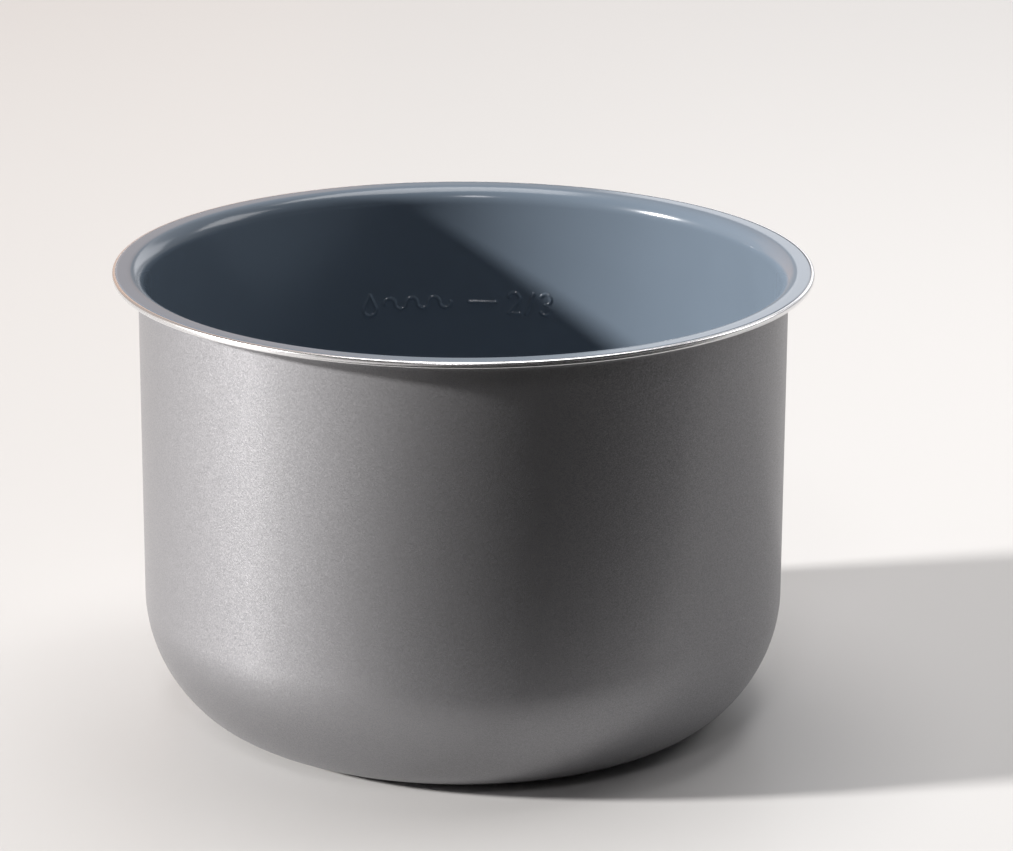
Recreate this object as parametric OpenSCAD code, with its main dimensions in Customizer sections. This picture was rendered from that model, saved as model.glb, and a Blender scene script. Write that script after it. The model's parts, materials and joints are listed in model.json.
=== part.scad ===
// Removable inner cooking pot of an electric pressure cooker.
// Deep drawn aluminium, ceramic non-stick inside, metallic grey finish outside.
// Standing upright on its base: +Z up, origin at the centre of the base face.

/* [Pot] */
// Outside diameter of the rim
rim_d = 241; // [225:1:260]
// Height from the base face to the top of the rim
height = 159; // [130:1:200]
// Outside diameter of the straight wall
body_d = 223.5; // [218:0.5:228]
// Thickness of the finished sheet, coatings included
sheet_t = 2.2; // [1.6:0.1:3.0]

/* [Base corner] */
// Radius of the lower, tighter part of the corner
lower_corner_r = 29.2; // [20:0.1:30]
// How much larger the radius of the upper, gentler part is
corner_growth = 20.3; // [14.5:2.9:20.3]

/* [Rim] */
// Radius of the drawn shoulder between wall and rim, on its rounded inner side
shoulder_r = 5.9; // [4:0.1:7]
// Width of the bare machined edge around the rim
bare_edge_w = 1.1; // [1.1:0.1:2]
// Rounding of the machined edge, above and below
edge_round = 0.85; // [0.3:0.05:1]

/* [Base] */
// Diameter of the bare turned face that stands on the heater
base_face_d = 144; // [120:1:146]
// How far the bare face stands below the coated base
base_face_h = 0.3; // [0.2:0.1:0.6]

/* [Coatings] */
// Thickness of each coating
coat_t = 0.3; // [0.2:0.05:0.5]

/* [Fill mark] */
// Height of the dash above the base face
mark_z = 115.2; // [90:0.2:125]
// Height of the symbols
mark_h = 9.2; // [7:0.1:11]
// Width of a raised stroke
stroke_w = 1.2; // [0.8:0.1:1.6]
// How far the strokes stand out of the wall
mark_raise = 0.4; // [0.3:0.1:0.8]

/* [Hidden] */
$fn = 128;

rim_r = rim_d / 2;
body_r = body_d / 2;
inner_r = body_r - sheet_t;
metal_in = sheet_t - coat_t;              // depth of the lining's back, from the outside surface
edge_r = rim_r - bare_edge_w;             // where the coatings stop at the rim
fillet_r = shoulder_r - sheet_t;          // hollow side of the shoulder, under the rim
shoulder_c = [body_r + fillet_r, height - shoulder_r];
// The line through the centres of both corner arcs, as a whole-number right triangle with a long
// side of 29: the arcs then meet in exact figures, with no sliver between them
blend = [21, -20];
corner_step = blend * corner_growth / norm(blend);
upper_corner_r = lower_corner_r + corner_growth;
lower_c = [body_r - upper_corner_r + corner_step[0], base_face_h + lower_corner_r];
upper_c = lower_c - corner_step;

// Everything below the shoulder that lies deeper than d under the outside surface
module filled(d, top) {
    polygon([
        [0, base_face_h + d], [lower_c[0], base_face_h + d], lower_c, upper_c,
        [body_r - d, upper_c[1]], [body_r - d, top], [0, top]
    ]);
    intersection() {
        translate(lower_c) circle(lower_corner_r - d);
        polygon([
            lower_c,
            lower_c + 4 * [0, blend[1]],
            lower_c + 4 * blend
        ]);
    }
    intersection() {
        translate(upper_c) circle(upper_corner_r - d);
        polygon([
            upper_c,
            upper_c + 4 * blend,
            upper_c + 4 * [blend[0], 0]
        ]);
    }
}

// Section of the sheet between two depths under its outside surface, from the axis to the bare edge
module layer_section(d_out, d_in) {
    difference() {
        filled(d_out, shoulder_c[1]);
        filled(d_in, shoulder_c[1] + 1);
    }
    intersection() {
        translate(shoulder_c) difference() {
            circle(fillet_r + d_in);
            circle(fillet_r + d_out);
        }
        translate([shoulder_c[0] - 2 * shoulder_r, shoulder_c[1]]) square(2 * shoulder_r);
    }
    translate([shoulder_c[0], height - sheet_t + d_out])
        square([edge_r - shoulder_c[0], d_in - d_out]);
}

// Section of the bare rim edge, rounded above and below
module edge_section() {
    translate([edge_r, height - sheet_t]) {
        square([bare_edge_w - edge_round, sheet_t]);
        translate([0, edge_round]) square([bare_edge_w, sheet_t - 2 * edge_round]);
        for (side = [-1, 1])
            translate([bare_edge_w - edge_round, sheet_t / 2 + side * (sheet_t / 2 - edge_round)])
                intersection() {
                    circle(edge_round);
                    translate([0, min(0, side) * edge_round]) square(edge_round);
                }
    }
}

function unit(v) = v / norm(v);

// Points along a circle, from angle a0 to a1
function bend(c, r, a0, a1) =
    let (steps = round(abs(a1 - a0) / 30))
    [for (i = [0:steps]) let (a = a0 + (a1 - a0) * i / steps) c + r * [cos(a), sin(a)]];

// A path moved sideways by d, to its left where d is above 0, with mitred corners
function beside(path, d, closed) =
    let (n = len(path))
    [for (i = [0:n - 1])
        let (
            before = closed || i > 0 ? unit(path[i] - path[(i + n - 1) % n]) : undef,
            after = closed || i < n - 1 ? unit(path[(i + 1) % n] - path[i]) : before,
            into = is_undef(before) ? after : before,
            mitre = unit(into + after)
        )
        path[i] + d * [-mitre[1], mitre[0]] / (mitre * into)];

// A raised stroke along an open path
module stroke(path) {
    right = beside(path, -stroke_w / 2, false);
    polygon(concat(
        beside(path, stroke_w / 2, false), [for (i = [len(path) - 1:-1:0]) right[i]]
    ));
}

// A raised stroke round a closed path that runs anticlockwise
module loop(path) {
    difference() {
        polygon(beside(path, -stroke_w / 2, true));
        polygon(beside(path, stroke_w / 2, true));
    }
}

// Numeral two, on its lower left corner
module two(w, h) {
    r = w / 2;
    stroke(concat(bend([r, h - r], r, 180, -30), [[0, 0]]));
    stroke([[-stroke_w / 3, 0], [w, 0]]);
}

// Numeral three, on its lower left corner
module three(w, h) {
    r = h / 4;
    stroke(bend([w - r, 3 * r], r, 150, -105));
    stroke(bend([w - r, r], r, 90, -150));
}

// Liquid level sign: a drop, then a wavy surface
module level_sign(h) {
    drop_r = 0.3 * h;
    wave_r = 2.1;
    waves = 3;
    loop(concat([[drop_r, h]], bend([drop_r, drop_r], drop_r, 150, 390)));
    stroke(concat(
        [[4.2 * drop_r - wave_r, h / 2]],
        [for (i = [0:waves - 1]) let (x = 4.2 * drop_r + 4 * wave_r * i) each concat(
            bend([x, h / 2], wave_r, 150, 0), bend([x + 2 * wave_r, h / 2], wave_r, 210, 360)
        )]
    ));
}

// The whole mark, flat: level sign, dash at the level, and the fraction of the pot that it means
module mark_outline() {
    h = mark_h - stroke_w;
    numeral_w = 4;
    translate([-38, -h / 2]) level_sign(h);
    stroke([[1.4, 0], [12.6, 0]]);
    translate([17, -h / 2]) two(numeral_w, h);
    stroke([[23.6, -h / 2], [26.4, h / 2]]);
    translate([29, -h / 2]) three(numeral_w, h);
}

// Drawn aluminium sheet with its bare rim edge and bare base face
module pot_body() {
    color("silver") rotate_extrude() {
        layer_section(coat_t, metal_in);
        edge_section();
        square([base_face_d / 2, base_face_h + sheet_t / 2]);
    }
}

// Non-stick inside, with the raised fill mark on the wall
module ceramic_lining() {
    color("slategray") {
        rotate_extrude() layer_section(metal_in, sheet_t);
        intersection() {
            translate([0, body_r, mark_z]) rotate([90, 0, 0])
                linear_extrude(body_r / 2) mark_outline();
            rotate_extrude() translate([inner_r - mark_raise, mark_z - mark_h])
                square([mark_raise + coat_t / 2, 2 * mark_h]);
        }
    }
}

// Metallic grey finish outside, from under the rim to the bare base face
module outer_coating() {
    color("dimgray") rotate_extrude() difference() {
        layer_section(0, coat_t);
        square([base_face_d / 2, base_face_h + sheet_t]);
    }
}

pot_body();
ceramic_lining();
outer_coating();
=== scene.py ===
import json
import math

import bmesh
import bpy
from mathutils import Matrix, Vector


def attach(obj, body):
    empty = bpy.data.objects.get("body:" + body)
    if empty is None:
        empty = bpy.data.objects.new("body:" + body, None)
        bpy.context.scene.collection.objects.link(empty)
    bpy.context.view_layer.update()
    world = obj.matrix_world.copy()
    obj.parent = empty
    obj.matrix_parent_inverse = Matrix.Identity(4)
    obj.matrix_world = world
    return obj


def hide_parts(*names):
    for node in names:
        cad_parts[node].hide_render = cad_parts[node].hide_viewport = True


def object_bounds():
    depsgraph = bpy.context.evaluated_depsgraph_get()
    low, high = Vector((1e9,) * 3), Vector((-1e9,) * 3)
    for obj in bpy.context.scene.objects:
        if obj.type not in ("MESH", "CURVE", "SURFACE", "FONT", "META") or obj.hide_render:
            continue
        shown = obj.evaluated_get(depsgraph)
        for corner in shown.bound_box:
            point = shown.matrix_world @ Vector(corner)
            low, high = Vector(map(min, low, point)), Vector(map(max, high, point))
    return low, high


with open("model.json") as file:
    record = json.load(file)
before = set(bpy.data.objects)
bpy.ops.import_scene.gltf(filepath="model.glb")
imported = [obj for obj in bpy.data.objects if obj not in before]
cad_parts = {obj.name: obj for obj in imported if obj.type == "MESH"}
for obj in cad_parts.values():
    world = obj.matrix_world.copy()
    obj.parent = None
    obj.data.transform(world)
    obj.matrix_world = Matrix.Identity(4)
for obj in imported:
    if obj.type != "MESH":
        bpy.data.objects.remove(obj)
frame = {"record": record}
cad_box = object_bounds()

mm = 0.001

# ---- Drawn body ------------------------------------------------------------------------------
# One disc of aluminium sheet, deep drawn into a pot and trimmed round the rim. Only its turned
# rim edge and the turned face that it stands on stay bare. The two coatings hide the rest.

fits = {mount["name"]: mount["dims"] for mount in frame["record"]["mounts"]}
wall_r = fits["outer_wall"]["r_mm"] * mm
inside_r = fits["inner_wall"]["r_mm"] * mm
sheet = wall_r - inside_r
rim_r = cad_box[1][0]
pot_height = cad_box[1][2]
coat = 0.3 * mm

face_r = 72 * mm
face_step = 0.3 * mm
face_rings = 30
groove = 0.03 * mm
bare_edge = 1.1 * mm
edge_r = rim_r - bare_edge
edge_round = 0.85 * mm
edge_land = 0.1 * mm

upper_corner_r = 49.5 * mm
lower_corner_r = 29.2 * mm
corner_blend = math.degrees(math.atan2(20, 21))
shoulder_r = 5.9 * mm
hollow_r = shoulder_r - sheet
shoulder_centre = (wall_r + hollow_r, pot_height - shoulder_r)
corner_shift = upper_corner_r - lower_corner_r
upper_centre = (
    wall_r - upper_corner_r,
    face_step + lower_corner_r + corner_shift * math.sin(math.radians(corner_blend)),
)
lower_centre = (
    upper_centre[0] + corner_shift * math.cos(math.radians(corner_blend)),
    face_step + lower_corner_r,
)


def arc(centre, radius, start, end, steps):
    """Points of a section along an arc, with its angles in degrees above the outward direction."""
    angles = [math.radians(start + (end - start) * i / steps) for i in range(steps + 1)]
    return [(centre[0] + radius * math.cos(a), centre[1] + radius * math.sin(a)) for a in angles]


def corner_at(depth):
    """The rounded base corner, this deep under the outside of the sheet, from the base to the wall."""
    lower = arc(lower_centre, lower_corner_r - depth, -90, -corner_blend, 16)
    upper = arc(upper_centre, upper_corner_r - depth, -corner_blend, 0, 20)
    return lower + upper[1:]


# A flat stretch has an extra point this near each of its bends, which keeps its shading flat.
guard = 0.8 * mm


def shoulder_at(depth):
    """The drawn shoulder and the flat rim, this deep under the outside, from the wall outwards."""
    roll = arc(shoulder_centre, hollow_r + depth, 180, 90, 14)
    inner_end, level = roll[-1]
    return roll + [(inner_end + guard, level), (edge_r - guard, level), (edge_r, level)]


def skin_at(depth, wall_points=()):
    """One whole surface of the sheet, from its base corner to the edge of its rim."""
    wall = wall_r - depth
    low = (wall, upper_centre[1] + guard)
    high = (wall, shoulder_centre[1] - guard)
    return corner_at(depth) + [low, *wall_points, high] + shoulder_at(depth)


# A piece is spun in two stages, one slice and then copies of it, which is quick.
slices = 8
weld = 0.00015 * mm


def turn(name, section, sectors=((0, 360, 256),)):
    """Spins a closed section into a piece. Each sector is its first angle, its sweep and its steps."""
    bm = bmesh.new()
    for first, sweep, steps in sectors:
        made = set(bm.faces)
        spoke = Matrix.Rotation(math.radians(first), 3, "Z")
        ring = [bm.verts.new(spoke @ Vector((0, -r, z))) for r, z in section]
        profile = ring + [bm.edges.new(pair) for pair in zip(ring, ring[1:])]
        if section[0][0] > 0 and section[-1][0] > 0:
            profile.append(bm.edges.new((ring[-1], ring[0])))
        bmesh.ops.spin(
            bm, geom=profile, axis=(0, 0, 1), cent=(0, 0, 0),
            angle=math.radians(sweep / slices), steps=steps // slices, use_duplicate=False,
        )
        slice_faces = [face for face in bm.faces if face not in made]
        slice_edges = {edge for face in slice_faces for edge in face.edges}
        slice_verts = {vert for face in slice_faces for vert in face.verts}
        bmesh.ops.spin(
            bm, geom=slice_faces + list(slice_edges) + list(slice_verts),
            axis=(0, 0, 1), cent=(0, 0, 0),
            angle=math.radians(sweep * (slices - 1) / slices), steps=slices - 1, use_duplicate=True,
        )
    bmesh.ops.remove_doubles(bm, verts=bm.verts, dist=weld)
    bmesh.ops.recalc_face_normals(bm, faces=bm.faces)
    for face in bm.faces:
        face.smooth = True
    mesh = bpy.data.meshes.new(name)
    bm.to_mesh(mesh)
    bm.free()
    piece = bpy.data.objects.new(name, mesh)
    bpy.context.scene.collection.objects.link(piece)
    return piece


def node_adder(tree):
    """A shorthand for adding a node with its settings, values and links. A Mix node's colours are 6 and 7."""
    def add(kind, values=None, links=None, **settings):
        node = tree.nodes.new(kind)
        for key, value in settings.items():
            setattr(node, key, value)
        for socket, value in (values or {}).items():
            node.inputs[socket].default_value = value
        for socket, source in (links or {}).items():
            tree.links.new(source, node.inputs[socket])
        return node

    return add


def new_finish(name, **numbers):
    """A new material, its node tree and its shader, with these of the shader's own numbers set."""
    material = bpy.data.materials.new(name)
    material.use_nodes = True
    tree = material.node_tree
    shader = tree.nodes["Principled BSDF"]
    for socket, value in numbers.items():
        shader.inputs[socket.replace("_", " ")].default_value = value
    return material, tree, shader


def bare_aluminium():
    """Aluminium as a lathe tool leaves it, with fine rings round the axis."""
    material, tree, shader = new_finish("bare_aluminium", Base_Color=(0.86, 0.86, 0.87, 1), Metallic=1)
    add = node_adder(tree)
    place = add("ShaderNodeTexCoord").outputs["Object"]
    split = add("ShaderNodeSeparateXYZ", links={"Vector": place})
    flat = add("ShaderNodeCombineXYZ", links={"X": split.outputs["X"], "Y": split.outputs["Y"]})
    radius = add("ShaderNodeVectorMath", links={0: flat.outputs[0]}, operation="LENGTH")
    across = add(
        "ShaderNodeMath", links={0: radius.outputs["Value"], 1: split.outputs["Z"]}, operation="ADD"
    )
    pitch = add("ShaderNodeCombineXYZ", links={"X": across.outputs[0]})
    rings = add(
        "ShaderNodeTexNoise", values={"Scale": 4500, "Detail": 2}, links={"Vector": pitch.outputs[0]}
    )
    bump = add(
        "ShaderNodeBump", values={"Strength": 0.35, "Distance": 0.02 * mm},
        links={"Height": rings.outputs["Fac"]},
    )
    tree.links.new(bump.outputs[0], shader.inputs["Normal"])
    gloss = add(
        "ShaderNodeMapRange", values={"To Min": 0.18, "To Max": 0.34},
        links={"Value": rings.outputs["Fac"]},
    )
    tree.links.new(gloss.outputs[0], shader.inputs["Roughness"])
    return material


metal_outside = skin_at(coat)
metal_inside = skin_at(sheet - coat)
metal_floor = (0, face_step + sheet - coat)

half_rings = 2 * face_rings
base_face = [(0, 0)]
base_face += [(face_r * i / half_rings, groove * (i % 2)) for i in range(1, half_rings)]
base_face += [(face_r - edge_land, 0), (face_r, edge_land), (face_r, face_step + coat)]

under_rim = pot_height - sheet
land_r = edge_r + edge_land
bullnose_r = rim_r - edge_round
rim_edge = [(edge_r, under_rim), (land_r, under_rim)]
rim_edge += arc((bullnose_r, under_rim + edge_round), edge_round, -90, 0, 8)
rim_edge += arc((bullnose_r, pot_height - edge_round), edge_round, 0, 90, 8)
rim_edge += [(land_r, pot_height), (edge_r, pot_height)]

body_section = base_face + metal_outside + rim_edge + metal_inside[::-1] + [metal_floor]
drawn_body = turn("drawn_body", body_section)
drawn_body.data.materials.append(bare_aluminium())
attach(drawn_body, "root")
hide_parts("pot_body")

# ---- Ceramic lining --------------------------------------------------------------------------
# Slate blue ceramic non-stick, sprayed over the inside and the top of the rim, then baked.
# The fill mark is pressed into the wall before coating, so the lining rounds its strokes off.

mark_level = 115.2 * mm
mark_height = 9.2 * mm
mark_reach = 40 * mm
mark_band = 12.5 * mm
mark_rows = 56
stroke = 1.2 * mm
proud = 0.4 * mm
crown = 0.1 * mm
fade = 0.3 * mm


def bar(p, q):
    """A straight stroke of the mark, in millimetres across and above the dash."""
    return ("bar", Vector(p), Vector(q))


def bend(centre, radius, start, end):
    """A curved stroke of the mark, anticlockwise between two angles in degrees."""
    return ("bend", Vector(centre), radius, start, end)


def level_sign(left, foot, height):
    """A drop, then a wavy surface: the liquid level sign."""
    drop = 0.3 * height
    wave = 2.1
    waves = 3
    sea = foot + height / 2
    first_crest = left + 4.2 * drop
    tip = (left + drop, foot + height)
    side = drop * math.cos(math.radians(30))
    strokes = [bend((left + drop, foot + drop), drop, -210, 30)]
    strokes += [bar(tip, (left + drop + s * side, foot + 1.5 * drop)) for s in (-1, 1)]
    for i in range(waves):
        crest = first_crest + 4 * wave * i
        strokes.append(bend((crest, sea), wave, 0, 180))
        strokes.append(bend((crest + 2 * wave, sea), wave, 180, 360))
    return strokes


def numeral_two(left, foot, width, height):
    """A round head, a slanting neck and a flat foot."""
    r = width / 2
    neck = 35
    head = (left + r, foot + height - r)
    neck_top = (
        head[0] + r * math.cos(math.radians(neck)), head[1] - r * math.sin(math.radians(neck))
    )
    return [
        bend(head, r, -neck, 170),
        bar(neck_top, (left, foot)),
        bar((left, foot), (left + width, foot)),
    ]


def numeral_three(left, foot, width, height):
    """Two equal bowls, the lower one first."""
    r = height / 4
    centre_x = left + width - r
    return [
        bend((centre_x, foot + r), r, -150, 90),
        bend((centre_x, foot + 3 * r), r, -90, 150),
    ]


def to_stroke(point, line):
    """How far a point is from the middle of a stroke."""
    if line[0] == "bar":
        start, run = line[1], line[2] - line[1]
        along = max(0, min(1, (point - start).dot(run) / run.length_squared))
        return (point - start - along * run).length
    centre, radius, first, last = line[1:]
    spoke = point - centre
    angle = math.degrees(math.atan2(spoke.y, spoke.x))
    turned = (angle - first) % 360
    if turned <= last - first:
        return abs(spoke.length - radius)
    ends = [centre + radius * Vector((math.cos(math.radians(a)), math.sin(math.radians(a))))
            for a in (first, last)]
    return min((point - end).length for end in ends)


glyph = (mark_height - stroke) / mm
foot = -glyph / 2
sign_left = -38
dash_left, dash_right = 2, 12
two_left, slash_left, slash_right, three_left = 17, 23.6, 26.4, 29
numeral_width = 4
mark = level_sign(sign_left, foot, glyph)
mark += [bar((dash_left, 0), (dash_right, 0))]
mark += numeral_two(two_left, foot, numeral_width, glyph)
mark += [bar((slash_left, foot), (slash_right, -foot))]
mark += numeral_three(three_left, foot, numeral_width, glyph)


def press_mark(piece):
    """Moves the wall inwards under each stroke, with a flat crown and a soft coated edge."""
    for vertex in piece.data.vertices:
        x, y, z = vertex.co
        across = inside_r * math.atan2(x, y)
        in_band = abs(z - mark_level) < mark_band / 2 and abs(across) < mark_reach
        if in_band and math.hypot(x, y) < inside_r + coat / 2:
            point = Vector((across, z - mark_level)) / mm
            gap = min(to_stroke(point, line) for line in mark) * mm
            t = max(0, min(1, (gap - crown) / (stroke / 2 + fade - crown)))
            rise = proud * (1 - t * t * (3 - 2 * t))
            vertex.co.x *= 1 - rise / inside_r
            vertex.co.y *= 1 - rise / inside_r


def slate_ceramic():
    """Sol-gel ceramic: smooth and semi-gloss, with the faint ripple that spraying leaves."""
    material, tree, shader = new_finish("slate_ceramic", Roughness=0.17, Specular_IOR_Level=0.5)
    add = node_adder(tree)
    place = add("ShaderNodeTexCoord").outputs["Object"]
    cloud = add("ShaderNodeTexNoise", values={"Scale": 35, "Detail": 3}, links={"Vector": place})
    dark_slate = (0.120, 0.153, 0.192, 1)
    pale_slate = (0.132, 0.168, 0.210, 1)
    tone = add(
        "ShaderNodeMix", values={6: dark_slate, 7: pale_slate},
        links={"Factor": cloud.outputs["Fac"]}, data_type="RGBA",
    )
    tree.links.new(tone.outputs[2], shader.inputs["Base Color"])
    ripple = add("ShaderNodeTexNoise", values={"Scale": 420, "Detail": 1}, links={"Vector": place})
    bump = add(
        "ShaderNodeBump", values={"Strength": 0.1, "Distance": 0.05 * mm},
        links={"Height": ripple.outputs["Fac"]},
    )
    tree.links.new(bump.outputs[0], shader.inputs["Normal"])
    return material


rows = [
    (inside_r, mark_level + mark_band * (i / mark_rows - 0.5)) for i in range(mark_rows + 1)
]
flat_floor_r = 40 * mm
lining_floor = [(0, face_step + sheet), (flat_floor_r, face_step + sheet)]
lining_section = lining_floor + skin_at(sheet, rows) + metal_inside[::-1] + [metal_floor]

# The wall behind the mark is spun in much finer steps than the rest.
fine_angle = 42
fine_start = 180 - fine_angle / 2
lining = turn("lining", lining_section, (
    (fine_start, fine_angle, 360),
    (fine_start + fine_angle, 360 - fine_angle, 192),
))
press_mark(lining)
lining.data.materials.append(slate_ceramic())
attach(lining, "root")
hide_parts("ceramic_lining")

# ---- Outer coating ---------------------------------------------------------------------------
# Metallic grey silicone enamel, sprayed from under the rim down to the edge of the base face.
# Its aluminium flakes lie nearly flat, which gives the broad sheen and the fine sparkle.


def grey_metallic():
    """Dark enamel full of fine flakes, each tilted a little its own way."""
    material, tree, shader = new_finish(
        "grey_metallic", Metallic=1, Roughness=0.57, Coat_Weight=0.25, Coat_Roughness=0.2
    )
    add = node_adder(tree)
    place = add("ShaderNodeTexCoord").outputs["Object"]
    flakes = add("ShaderNodeTexVoronoi", values={"Scale": 4200}, links={"Vector": place})
    tilt = add(
        "ShaderNodeVectorMath", values={1: (0.5, 0.5, 0.5)},
        links={0: flakes.outputs["Color"]}, operation="SUBTRACT",
    )
    small = add("ShaderNodeVectorMath", values={3: 0.16}, links={0: tilt.outputs[0]}, operation="SCALE")
    normal = add("ShaderNodeNewGeometry").outputs["Normal"]
    leaning = add("ShaderNodeVectorMath", links={0: normal, 1: small.outputs[0]}, operation="ADD")
    unit = add("ShaderNodeVectorMath", links={0: leaning.outputs[0]}, operation="NORMALIZE")
    tree.links.new(unit.outputs[0], shader.inputs["Normal"])
    pick = add("ShaderNodeSeparateColor", links={"Color": flakes.outputs["Color"]})
    dark_flake = (0.26, 0.26, 0.272, 1)
    pale_flake = (0.35, 0.35, 0.362, 1)
    tone = add(
        "ShaderNodeMix", values={6: dark_flake, 7: pale_flake},
        links={"Factor": pick.outputs[0]}, data_type="RGBA",
    )
    tree.links.new(tone.outputs[2], shader.inputs["Base Color"])
    return material


coating_section = (
    [(face_r, face_step)] + skin_at(0) + metal_outside[::-1] + [(face_r, face_step + coat)]
)
coating = turn("coating", coating_section)
coating.data.materials.append(grey_metallic())
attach(coating, "root")
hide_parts("outer_coating")

# ---- Floor and light -------------------------------------------------------------------------
# A wide pale worktop with a slight gloss, lit by one low sun-like key light from the left and by
# soft lights above, behind and beside the pot. A black sheet just above the worktop in front of the
# pot shows only in reflections: a painted dark reflection standing in for the shade of a dark room.


def laid_flat(name, centre, turn_z, width, length, finish):
    """A plain flat sheet of the studio, lying on or near the worktop."""
    bm = bmesh.new()
    bmesh.ops.create_grid(bm, x_segments=1, y_segments=1, size=0.5)
    bmesh.ops.scale(bm, vec=(width, length, 1), verts=bm.verts)
    bmesh.ops.rotate(bm, matrix=Matrix.Rotation(math.radians(turn_z), 3, "Z"), verts=bm.verts)
    bmesh.ops.translate(bm, vec=centre, verts=bm.verts)
    mesh = bpy.data.meshes.new(name)
    bm.to_mesh(mesh)
    bm.free()
    mesh.materials.append(finish)
    flat = bpy.data.objects.new(name, mesh)
    bpy.context.scene.collection.objects.link(flat)
    return flat


pale_floor = new_finish(
    "pale_floor", Base_Color=(0.585, 0.583, 0.577, 1), Roughness=0.38, Specular_IOR_Level=0.06
)[0]
laid_flat("floor", (0, 0, 0), 0, 12, 12, pale_floor)

# Painted dark reflection: a black sheet that only glossy rays see. It stands in for the shade of a dark room
# in front of the pot, and it is not a real cloth.
painted_dark_reflection = new_finish(
    "painted_dark_reflection", Base_Color=(0.02, 0.02, 0.02, 1), Roughness=0.9, Specular_IOR_Level=0
)[0]
dark_sheet_width, dark_sheet_length = 1.1, 2
dark_sheet_turn = 9
dark_sheet_corner = Vector((-0.24, -0.215, 1 * mm))
dark_sheet_spin = Matrix.Rotation(math.radians(dark_sheet_turn), 3, "Z")
dark_sheet_centre = dark_sheet_corner + dark_sheet_spin @ Vector((dark_sheet_width / 2, -dark_sheet_length / 2, 0))
dark_reflection_sheet = laid_flat("front_painted_dark_reflection", dark_sheet_centre, dark_sheet_turn, dark_sheet_width, dark_sheet_length, painted_dark_reflection)
dark_reflection_sheet.visible_camera = dark_reflection_sheet.visible_diffuse = dark_reflection_sheet.visible_shadow = False

light_aim = Vector((0, 0, 80 * mm))


def toward(azimuth, elevation):
    """Unit vector to a light: degrees left of the camera's side, and above the floor."""
    a, e = math.radians(azimuth), math.radians(elevation)
    return Vector((-math.sin(a) * math.cos(e), -math.cos(a) * math.cos(e), math.sin(e)))


def add_light(name, kind, azimuth, elevation, distance, energy, colour):
    """A light of this kind, out of the camera's sight and aimed at the middle of the pot."""
    lamp = bpy.data.lights.new(name, kind)
    lamp.energy = energy
    lamp.color = colour
    light = bpy.data.objects.new(name, lamp)
    light.visible_camera = False
    place = light_aim + distance * toward(azimuth, elevation)
    facing = (light_aim - place).to_track_quat("-Z", "Y").to_matrix().to_4x4()
    light.matrix_world = Matrix.Translation(place) @ facing
    bpy.context.scene.collection.objects.link(light)
    return lamp


def add_soft_box(name, azimuth, elevation, distance, energy, colour, width, height):
    """A rectangular soft light."""
    lamp = add_light(name, "AREA", azimuth, elevation, distance, energy, colour)
    lamp.shape = "RECTANGLE"
    lamp.size, lamp.size_y = width, height


# For each light: degrees round from the camera's side, degrees up, metres away, its strength and
# its colour, and for a soft box its width and height in metres.
key = add_light("key", "SUN", 79.3, 20, 3, 6.6, (1, 0.97, 0.95))
key.angle = math.radians(5)
add_soft_box("ceiling", 200, 80, 1.8, 20, (1, 0.98, 0.97), 1.2, 1.2)
add_soft_box("overhead", 5, 42, 1.6, 2.2, (1, 0.96, 0.98), 0.22, 0.22)
add_soft_box("back_right", 200, 18, 1.8, 2, (0.97, 0.97, 1), 1.0, 0.5)
add_soft_box("back_left", 160, 16, 1.8, 1, (1, 0.55, 0.32), 1.1, 0.9)
add_soft_box("side_right", 250, 35, 1.5, 4, (1, 0.98, 0.98), 0.6, 0.6)


def studio_walls():
    """Walls that are dark on the camera's side, bright behind the pot and a little warm on the left."""
    world = bpy.data.worlds.new("studio")
    world.use_nodes = True
    sky = world.node_tree
    add = node_adder(sky)
    outward = add("ShaderNodeTexCoord").outputs["Generated"]
    split = add("ShaderNodeSeparateXYZ", links={"Vector": outward})
    glow = add(
        "ShaderNodeMapRange", links={"Value": split.outputs["Y"]}, interpolation_type="SMOOTHSTEP",
        values={"From Min": -0.3, "From Max": 0.6, "To Min": 0.02, "To Max": 0.42},
    )
    side = add(
        "ShaderNodeMapRange", links={"Value": split.outputs["X"]}, interpolation_type="SMOOTHSTEP",
        values={"From Min": -0.3, "From Max": 0.1},
    )
    warm_white = (1, 0.86, 0.78, 1)
    cool_white = (0.97, 0.97, 1, 1)
    tint = add(
        "ShaderNodeMix", values={6: warm_white, 7: cool_white},
        links={"Factor": side.outputs[0]}, data_type="RGBA",
    )
    background = sky.nodes["Background"]
    sky.links.new(tint.outputs[2], background.inputs["Color"])
    sky.links.new(glow.outputs[0], background.inputs["Strength"])
    return world


bpy.context.scene.world = studio_walls()
bpy.context.scene.view_settings.view_transform = "Standard"

# ---- Camera ----------------------------------------------------------------------------------
# A long lens a good metre away, looking slightly down on the pot. Its angles are in radians:
# how far it looks down, how far it is turned aside, and how far it is tilted.

camera_down = 0.3023
camera_yaw = 0.0116
camera_roll = 0.0048
camera_distance = 1353.7 * mm
camera_aim = Vector((0, 0, 100.88 * mm))
camera_data = bpy.data.cameras.new("camera")
camera_data.sensor_width = 36
camera_data.lens = 138
camera = bpy.data.objects.new("camera", camera_data)
behind = Vector((0, -math.cos(camera_down), math.sin(camera_down)))
camera.matrix_world = (
    Matrix.Translation(camera_aim + camera_distance * behind)
    @ Matrix.Rotation(-camera_yaw, 4, "Z")
    @ Matrix.Rotation(math.pi / 2 - camera_down, 4, "X")
    @ Matrix.Rotation(camera_roll, 4, "Z")
)
bpy.context.scene.collection.objects.link(camera)
bpy.context.scene.camera = camera
